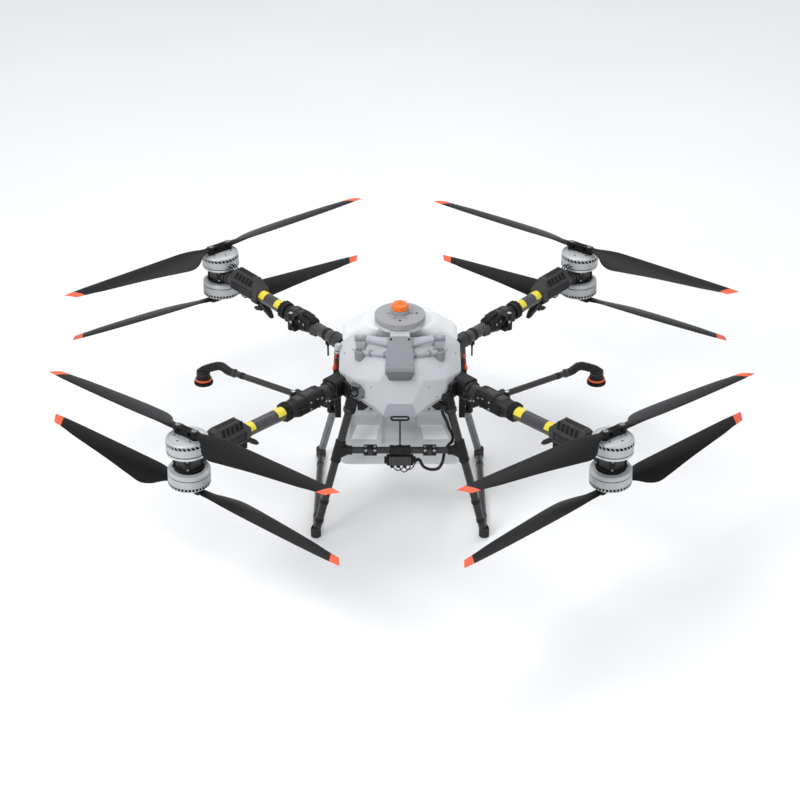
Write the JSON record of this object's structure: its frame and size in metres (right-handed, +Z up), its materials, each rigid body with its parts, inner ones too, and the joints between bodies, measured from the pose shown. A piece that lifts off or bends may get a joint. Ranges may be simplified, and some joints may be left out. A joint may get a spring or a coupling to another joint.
{
  "type": "agricultural spray drone",
  "caption": "Folding-arm coaxial multirotor sprayer with a liquid tank, rear spray lances with disc nozzles, slide-out battery and tubular skid landing gear.",
  "frame": {"origin": "on the ground, at the middle of the drone's box seen from above", "axes": "+Z up, -Y towards the front of the drone, +X towards its right as seen from the front"},
  "size_m": [2.9546, 2.667, 0.975],
  "materials": {
    "rotor": "satin anodised bell",
    "blade": "carbon-filled nylon, satin",
    "pod": "black anodised",
    "outer_arm": "woven carbon tube, satin black mouldings",
    "collar": "ribbed moulded nylon",
    "inner_arm": "woven carbon, satin",
    "fold": "black cast housing",
    "frame": "black anodised",
    "shell": "light grey moulded, fine grain",
    "spine": "grey moulded, fine grain",
    "bars": "grey moulded",
    "tank": "translucent blow-moulded",
    "lid": "grey moulded",
    "knob": "orange moulded",
    "latch": "orange-red moulded",
    "battery": "dark grey moulded case",
    "pump": "black moulded",
    "legs": "woven carbon tube, satin",
    "rubber": "moulded rubber",
    "tee": "glass-filled nylon",
    "crossbar": "black tube and clamps",
    "manifold": "finned grey moulding",
    "hose": "smooth black hose",
    "lance": "carbon tube, black mouldings, orange ring",
    "disc": "dark moulded disc",
    "sensor": "black aerials and camera"
  },
  "bodies": {
    "airframe": {"inner_arms": "inner_arm", "fold_housings": "fold", "fuselage_frame": "frame", "front_shell": "shell", "spine_cover": "spine", "handle_bars": "bars", "tank": "tank", "pumps": "pump", "landing_legs": "legs", "rubber_feet": "rubber", "leg_joints": "tee", "crossbar": "crossbar", "spray_manifold": "manifold", "hoses": "hose", "sensors": "sensor"},
    "arm_front_left": {"outer_arm_front_left": "outer_arm", "motor_pod_front_left": "pod"},
    "lock_front_left": {"lock_collar_front_left": "collar"},
    "rotor_front_left_upper": {"rotor_front_left_upper": "rotor"},
    "blade_front_left_upper_a": {"blade_front_left_upper_a": "blade"},
    "blade_front_left_upper_b": {"blade_front_left_upper_b": "blade"},
    "rotor_front_left_lower": {"rotor_front_left_lower": "rotor"},
    "blade_front_left_lower_a": {"blade_front_left_lower_a": "blade"},
    "blade_front_left_lower_b": {"blade_front_left_lower_b": "blade"},
    "arm_front_right": {"outer_arm_front_right": "outer_arm", "motor_pod_front_right": "pod"},
    "lock_front_right": {"lock_collar_front_right": "collar"},
    "rotor_front_right_upper": {"rotor_front_right_upper": "rotor"},
    "blade_front_right_upper_a": {"blade_front_right_upper_a": "blade"},
    "blade_front_right_upper_b": {"blade_front_right_upper_b": "blade"},
    "rotor_front_right_lower": {"rotor_front_right_lower": "rotor"},
    "blade_front_right_lower_a": {"blade_front_right_lower_a": "blade"},
    "blade_front_right_lower_b": {"blade_front_right_lower_b": "blade"},
    "arm_rear_left": {"outer_arm_rear_left": "outer_arm", "motor_pod_rear_left": "pod"},
    "lock_rear_left": {"lock_collar_rear_left": "collar"},
    "rotor_rear_left_upper": {"rotor_rear_left_upper": "rotor"},
    "blade_rear_left_upper_a": {"blade_rear_left_upper_a": "blade"},
    "blade_rear_left_upper_b": {"blade_rear_left_upper_b": "blade"},
    "rotor_rear_left_lower": {"rotor_rear_left_lower": "rotor"},
    "blade_rear_left_lower_a": {"blade_rear_left_lower_a": "blade"},
    "blade_rear_left_lower_b": {"blade_rear_left_lower_b": "blade"},
    "arm_rear_right": {"outer_arm_rear_right": "outer_arm", "motor_pod_rear_right": "pod"},
    "lock_rear_right": {"lock_collar_rear_right": "collar"},
    "rotor_rear_right_upper": {"rotor_rear_right_upper": "rotor"},
    "blade_rear_right_upper_a": {"blade_rear_right_upper_a": "blade"},
    "blade_rear_right_upper_b": {"blade_rear_right_upper_b": "blade"},
    "rotor_rear_right_lower": {"rotor_rear_right_lower": "rotor"},
    "blade_rear_right_lower_a": {"blade_rear_right_lower_a": "blade"},
    "blade_rear_right_lower_b": {"blade_rear_right_lower_b": "blade"},
    "lance_left": {"lance_left": "lance"},
    "sprinkler_left": {"sprinkler_disc_left": "disc"},
    "latch_left": {"latch_left": "latch"},
    "lance_right": {"lance_right": "lance"},
    "sprinkler_right": {"sprinkler_disc_right": "disc"},
    "latch_right": {"latch_right": "latch"},
    "lid": {"tank_lid": "lid"},
    "knob": {"lid_knob": "knob"},
    "battery": {"battery": "battery"}
  },
  "joints": [
    {"name": "arm_fold_front_left", "type": "hinge", "parent": "airframe", "child": "arm_front_left", "pos_m": [-0.43733, -0.32447, 0.65114], "axis": [0, 0, -1], "range_deg": [0, 128]},
    {"name": "lock_turn_front_left", "type": "hinge", "parent": "arm_front_left", "child": "lock_front_left", "pos_m": [-0.46393, -0.42425, 0.65449], "axis": [-0.6687, -0.7426, 0.0363], "range_deg": [0, 60]},
    {"name": "spin_front_left_upper", "type": "hinge", "parent": "arm_front_left", "child": "rotor_front_left_upper", "pos_m": [-0.823, -0.823, 0.7996], "axis": [-0.0259, 0.0234, 0.9994], "continuous": true},
    {"name": "blade_fold_front_left_upper_a", "type": "hinge", "parent": "rotor_front_left_upper", "child": "blade_front_left_upper_a", "pos_m": [-0.78906, -0.8525, 0.80117], "axis": [-0.0259, 0.0234, 0.9994], "range_deg": [0, 79.5]},
    {"name": "blade_fold_front_left_upper_b", "type": "hinge", "parent": "rotor_front_left_upper", "child": "blade_front_left_upper_b", "pos_m": [-0.85694, -0.7935, 0.79803], "axis": [-0.0259, 0.0234, 0.9994], "range_deg": [-81.5, 0]},
    {"name": "spin_front_left_lower", "type": "hinge", "parent": "arm_front_left", "child": "rotor_front_left_lower", "pos_m": [-0.823, -0.823, 0.5484], "axis": [0.0259, -0.0234, 0.9994], "continuous": true},
    {"name": "blade_fold_front_left_lower_a", "type": "hinge", "parent": "rotor_front_left_lower", "child": "blade_front_left_lower_a", "pos_m": [-0.7882, -0.85148, 0.54683], "axis": [0.0259, -0.0234, 0.9994], "range_deg": [0, 77.8]},
    {"name": "blade_fold_front_left_lower_b", "type": "hinge", "parent": "rotor_front_left_lower", "child": "blade_front_left_lower_b", "pos_m": [-0.8578, -0.79452, 0.54997], "axis": [0.0259, -0.0234, 0.9994], "range_deg": [-83.2, 0]},
    {"name": "arm_fold_front_right", "type": "hinge", "parent": "airframe", "child": "arm_front_right", "pos_m": [0.43733, -0.32447, 0.65114], "axis": [0, 0, 1], "range_deg": [0, 128]},
    {"name": "lock_turn_front_right", "type": "hinge", "parent": "arm_front_right", "child": "lock_front_right", "pos_m": [0.46393, -0.42425, 0.65449], "axis": [0.6687, -0.7426, 0.0363], "range_deg": [0, 60]},
    {"name": "spin_front_right_upper", "type": "hinge", "parent": "arm_front_right", "child": "rotor_front_right_upper", "pos_m": [0.823, -0.823, 0.7996], "axis": [-0.0259, -0.0234, -0.9994], "continuous": true},
    {"name": "blade_fold_front_right_upper_a", "type": "hinge", "parent": "rotor_front_right_upper", "child": "blade_front_right_upper_a", "pos_m": [0.78835, -0.85166, 0.80117], "axis": [-0.0259, -0.0234, -0.9994], "range_deg": [0, 78.1]},
    {"name": "blade_fold_front_right_upper_b", "type": "hinge", "parent": "rotor_front_right_upper", "child": "blade_front_right_upper_b", "pos_m": [0.85765, -0.79434, 0.79803], "axis": [-0.0259, -0.0234, -0.9994], "range_deg": [-82.9, 0]},
    {"name": "spin_front_right_lower", "type": "hinge", "parent": "arm_front_right", "child": "rotor_front_right_lower", "pos_m": [0.823, -0.823, 0.5484], "axis": [0.0259, 0.0234, -0.9994], "continuous": true},
    {"name": "blade_fold_front_right_lower_a", "type": "hinge", "parent": "rotor_front_right_lower", "child": "blade_front_right_lower_a", "pos_m": [0.7889, -0.85233, 0.54683], "axis": [0.0259, 0.0234, -0.9994], "range_deg": [0, 79.2]},
    {"name": "blade_fold_front_right_lower_b", "type": "hinge", "parent": "rotor_front_right_lower", "child": "blade_front_right_lower_b", "pos_m": [0.8571, -0.79367, 0.54997], "axis": [0.0259, 0.0234, -0.9994], "range_deg": [-81.8, 0]},
    {"name": "arm_fold_rear_left", "type": "hinge", "parent": "airframe", "child": "arm_rear_left", "pos_m": [-0.47946, 0.37126, 0.65343], "axis": [0, 0, -1], "range_deg": [-120, 0]},
    {"name": "lock_turn_rear_left", "type": "hinge", "parent": "arm_rear_left", "child": "lock_rear_left", "pos_m": [-0.50606, 0.47103, 0.65677], "axis": [-0.6687, 0.7426, 0.0363], "range_deg": [0, 60]},
    {"name": "spin_rear_left_upper", "type": "hinge", "parent": "arm_rear_left", "child": "rotor_rear_left_upper", "pos_m": [-0.823, 0.823, 0.7996], "axis": [-0.0259, -0.0234, 0.9994], "continuous": true},
    {"name": "blade_fold_rear_left_upper_a", "type": "hinge", "parent": "rotor_rear_left_upper", "child": "blade_rear_left_upper_a", "pos_m": [-0.85906, 0.79613, 0.79804], "axis": [-0.0259, -0.0234, 0.9994], "range_deg": [0, 85.8]},
    {"name": "blade_fold_rear_left_upper_b", "type": "hinge", "parent": "rotor_rear_left_upper", "child": "blade_rear_left_upper_b", "pos_m": [-0.78694, 0.84987, 0.80116], "axis": [-0.0259, -0.0234, 0.9994], "range_deg": [-75.2, 0]},
    {"name": "spin_rear_left_lower", "type": "hinge", "parent": "arm_rear_left", "child": "rotor_rear_left_lower", "pos_m": [-0.823, 0.823, 0.5484], "axis": [0.0259, 0.0234, 0.9994], "continuous": true},
    {"name": "blade_fold_rear_left_lower_a", "type": "hinge", "parent": "rotor_rear_left_lower", "child": "blade_rear_left_lower_a", "pos_m": [-0.85892, 0.79594, 0.54996], "axis": [0.0259, 0.0234, 0.9994], "range_deg": [0, 85.5]},
    {"name": "blade_fold_rear_left_lower_b", "type": "hinge", "parent": "rotor_rear_left_lower", "child": "blade_rear_left_lower_b", "pos_m": [-0.78708, 0.85006, 0.54684], "axis": [0.0259, 0.0234, 0.9994], "range_deg": [-75.5, 0]},
    {"name": "arm_fold_rear_right", "type": "hinge", "parent": "airframe", "child": "arm_rear_right", "pos_m": [0.47946, 0.37126, 0.65343], "axis": [0, 0, 1], "range_deg": [-120, 0]},
    {"name": "lock_turn_rear_right", "type": "hinge", "parent": "arm_rear_right", "child": "lock_rear_right", "pos_m": [0.50606, 0.47103, 0.65677], "axis": [0.6687, 0.7426, 0.0363], "range_deg": [0, 60]},
    {"name": "spin_rear_right_upper", "type": "hinge", "parent": "arm_rear_right", "child": "rotor_rear_right_upper", "pos_m": [0.823, 0.823, 0.7996], "axis": [-0.0259, 0.0234, -0.9994], "continuous": true},
    {"name": "blade_fold_rear_right_upper_a", "type": "hinge", "parent": "rotor_rear_right_upper", "child": "blade_rear_right_upper_a", "pos_m": [0.86038, 0.79799, 0.79805], "axis": [-0.0259, 0.0234, -0.9994], "range_deg": [0, 88.7]},
    {"name": "blade_fold_rear_right_upper_b", "type": "hinge", "parent": "rotor_rear_right_upper", "child": "blade_rear_right_upper_b", "pos_m": [0.78562, 0.84801, 0.80115], "axis": [-0.0259, 0.0234, -0.9994], "range_deg": [-72.3, 0]},
    {"name": "spin_rear_right_lower", "type": "hinge", "parent": "arm_rear_right", "child": "rotor_rear_right_lower", "pos_m": [0.823, 0.823, 0.5484], "axis": [0.0259, -0.0234, -0.9994], "continuous": true},
    {"name": "blade_fold_rear_right_lower_a", "type": "hinge", "parent": "rotor_rear_right_lower", "child": "blade_rear_right_lower_a", "pos_m": [0.85878, 0.79575, 0.54997], "axis": [0.0259, -0.0234, -0.9994], "range_deg": [0, 85.2]},
    {"name": "blade_fold_rear_right_lower_b", "type": "hinge", "parent": "rotor_rear_right_lower", "child": "blade_rear_right_lower_b", "pos_m": [0.78722, 0.85025, 0.54683], "axis": [0.0259, -0.0234, -0.9994], "range_deg": [-75.8, 0]},
    {"name": "lance_fold_left", "type": "hinge", "parent": "airframe", "child": "lance_left", "pos_m": [-0.3, 0.056, 0.403], "axis": [0, 0, -1], "range_deg": [0, 45]},
    {"name": "sprinkler_spin_left", "type": "hinge", "parent": "lance_left", "child": "sprinkler_left", "pos_m": [-0.877, 0.361, 0.374], "axis": [0, 0, 1], "continuous": true},
    {"name": "latch_swing_left", "type": "hinge", "parent": "airframe", "child": "latch_left", "pos_m": [-0.268, -0.085, 0.72], "axis": [0, 1, 0], "range_deg": [0, 90]},
    {"name": "lance_fold_right", "type": "hinge", "parent": "airframe", "child": "lance_right", "pos_m": [0.3, 0.056, 0.403], "axis": [0, 0, 1], "range_deg": [0, 45]},
    {"name": "sprinkler_spin_right", "type": "hinge", "parent": "lance_right", "child": "sprinkler_right", "pos_m": [0.877, 0.361, 0.374], "axis": [0, 0, 1], "continuous": true},
    {"name": "latch_swing_right", "type": "hinge", "parent": "airframe", "child": "latch_right", "pos_m": [0.268, -0.085, 0.72], "axis": [0, -1, 0], "range_deg": [0, 90]},
    {"name": "lid_hinge", "type": "hinge", "parent": "airframe", "child": "lid", "pos_m": [0, 0.058, 0.894], "axis": [-1, 0, 0], "range_deg": [0, 105]},
    {"name": "knob_turn", "type": "hinge", "parent": "lid", "child": "knob", "pos_m": [0, -0.06, 0.944], "axis": [0, 0, 1], "range_deg": [0, 90]},
    {"name": "battery_slide", "type": "slide", "parent": "airframe", "child": "battery", "axis": [0, 1, 0], "range_m": [0, 0.3]}
  ]
}
